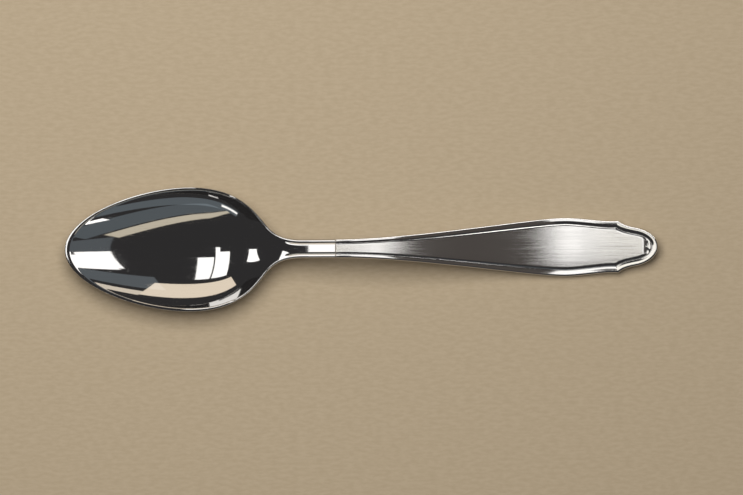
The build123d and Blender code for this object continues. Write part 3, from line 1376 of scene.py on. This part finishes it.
@dataclass
class Studio:
    """Pale board, soft window light from above and a camera that looks straight down."""

    board: PaleBoard = PaleBoard("pale_board")
    board_size: float = 6.0
    board_drop: float = 2e-5
    image: tuple[int, int] = (743, 495)
    sensor: float = 36.0
    near_clip: float = 0.01
    view_height: float = 2.0
    focal_px: float = 8454.0
    view_middle: Pair = (2.316, 0.2)
    roll: float = math.radians(-0.357)
    room: Triple = (0.040, 0.039, 0.040)
    panes: tuple[SoftPane, ...] = (
        # Seen in the bowl, and the cool wall in the handle too.
        SoftPane.overhead("left_pane", (-0.195, -0.037), (0.25, 1.17), 1.75, Glow.DAY, Lit.BOWL),
        SoftPane.overhead("right_pane", (-0.79, -0.225), (0.08, 1.17), 1.75, Glow.DAY, Lit.BOWL),
        SoftPane.overhead("neck_pane", (-0.345, -0.225), (-0.065, 0.08), 1.75, Glow.DAY, Lit.BOWL),
        SoftPane.overhead("side_window", (0.64, 1.10), (0.07, 0.76), 1.8,
                          Glow.WINDOW, Lit.BOWL, math.radians(5)),
        SoftPane.overhead("slant_window", (0.75, 1.85), (0.325, 1.035), 1.8,
                          Glow.WINDOW, Lit.BOWL, math.radians(22)),
        SoftPane("low_window", (-1.5, 0.0, 0.30), (-1.5, 0.42, 0.507), 2.0, Glow.DAY, Lit.BOWL),
        SoftPane("back_window", (0.9, -1.5, 0.8), (1.25, -1.5, 1.0), 2.0,
                 Glow.SOFT_WINDOW, Lit.BOWL),
        SoftPane("corner_window", (-1.35, -1.5, 0.34), (-0.55, -1.5, 0.46), 1.6,
                 Glow.DAY, Lit.BOWL),
        SoftPane("warm_wall", (-1.6, 1.9, 0.55), (0.55, 1.9, 1.55), 1.1, Glow.WARM, Lit.BOWL),
        SoftPane("warm_strip", (0.55, 1.9, 0.5), (1.9, 1.9, 0.8), 0.9, Glow.PALE_WARM, Lit.BOWL),
        SoftPane("cool_wall", (-1.4, -1.5, 0.26), (1.4, -1.5, 0.62), 0.14, Glow.COOL),
        SoftPane("cool_side", (0.74, -0.55, 1.3), (2.2, 0.08, 1.3), 0.11, Glow.PALE_COOL, Lit.BOWL),
        SoftPane("cool_low", (0.40, 1.15, 1.3), (2.4, 2.4, 1.3), 0.13, Glow.PALE_COOL, Lit.BOWL),
        SoftPane.overhead("cream_strip", (-2.18, 1.22), (-1.905, -1.625), 0.72,
                          Glow.CREAM, Lit.BOWL, math.radians(45)),
        SoftPane.overhead("cool_slope", (-1.31, 1.89), (-2.61, -1.51), 0.12,
                          Glow.COOL, Lit.BOWL, math.radians(45)),
        # Seen in the handle.
        SoftPane.overhead("panel_near", (-0.145, 0.315), (-0.15, 0.42), 1.62, Glow.DAY, Lit.HANDLE),
        SoftPane.overhead("panel_high", (-0.33, 0.31), (0.42, 1.30), 1.6, Glow.DAY, Lit.HANDLE),
        SoftPane.overhead("panel_far", (-0.70, -0.235), (-0.15, 0.5), 1.5,
                          Glow.PALE_CREAM, Lit.HANDLE),
        SoftPane.overhead("panel_end", (-2.6, -0.70), (-0.15, 1.30), 1.4,
                          Glow.FAINT_CREAM, Lit.HANDLE),
        SoftPane("bead_strip", (-0.8, 1.5, 0.10), (2.0, 1.5, 0.55), 5.0,
                 Glow.SOFT_WINDOW, Lit.HANDLE),
        SoftPane.overhead("dim_wall", (0.30, 1.6), (-0.9, 1.0), 0.055, Glow.DIM, Lit.HANDLE),
        # Falls on the board.
        SoftPane("board_light", (-0.285, -0.04, 0.6), (0.135, 0.43, 0.6), 7.25,
                 Glow.DAY, Lit.BOARD),
    )

    def lay_board(self) -> bpy.types.Object:
        """Board under the spoon, as a square of four corners.

        Returns:
            The board.
        """
        mesh = bpy.data.meshes.new("board")
        square = np.array([[-1, -1], [1, -1], [1, 1], [-1, 1]]) * self.board_size / 2
        corners = np.column_stack([square, np.full(4, -self.board_drop)])
        mesh.from_pydata(corners.tolist(), [], [[0, 1, 2, 3]])
        mesh.materials.append(self.board.material())
        board = bpy.data.objects.new("board", mesh)
        bpy.context.scene.collection.objects.link(board)
        return board

    def light(self, lit: dict[Lit, Sequence[bpy.types.Object]]) -> None:
        """Hang the panes in a dim room.

        Args:
            lit: The pieces of each group that a lamp may be kept to.
        """
        groups = {group: bpy.data.collections.new(group.value) for group in lit}
        for group, pieces in lit.items():
            for piece in pieces:
                groups[group].objects.link(piece)
        for pane in self.panes:
            pane.hang(groups)
        world = bpy.data.worlds.new("room")
        world.use_nodes = True
        world.node_tree.nodes["Background"].inputs["Color"].default_value = (*self.room, 1)
        bpy.context.scene.world = world

    def aim(self) -> None:
        """Camera above the spoon that looks straight down, with the lens for the focal length."""
        camera = bpy.data.cameras.new("camera")
        camera.sensor_width = self.sensor
        camera.lens = self.focal_px / self.image[0] * camera.sensor_width
        camera.clip_start = self.near_clip
        holder = bpy.data.objects.new("camera", camera)
        holder.location = (self.view_middle[0] * MM, self.view_middle[1] * MM, self.view_height)
        holder.rotation_euler = (0, 0, self.roll)
        bpy.context.scene.collection.objects.link(holder)
        bpy.context.scene.camera = holder
        bpy.context.scene.view_settings.view_transform = "Standard"


def main() -> None:
    """Build the spoon's pieces and the studio."""
    logging.basicConfig(level=logging.INFO, format="%(name)s: %(message)s")
    bowl_steel = SpoonSteel("polished_steel", polish=0.035, satin=0.26)
    handle_steel = SpoonSteel("satin_steel", polish=0.10, satin=0.16)
    bowl = Bowl("spoon_bowl", "bowl", "polished_steel", bowl_steel).build()
    handle = Handle("spoon_handle", "handle", "satin_steel", handle_steel).build()
    seam = BrazeSeam("neck_seam", "braze_seam", "braze_filler", FillerMetal("braze_filler")).build()
    studio = Studio()
    board = studio.lay_board()
    studio.light({Lit.BOWL: [bowl, seam], Lit.HANDLE: [handle, seam], Lit.BOARD: [board]})
    studio.aim()


if __name__ == "__main__":
    main()
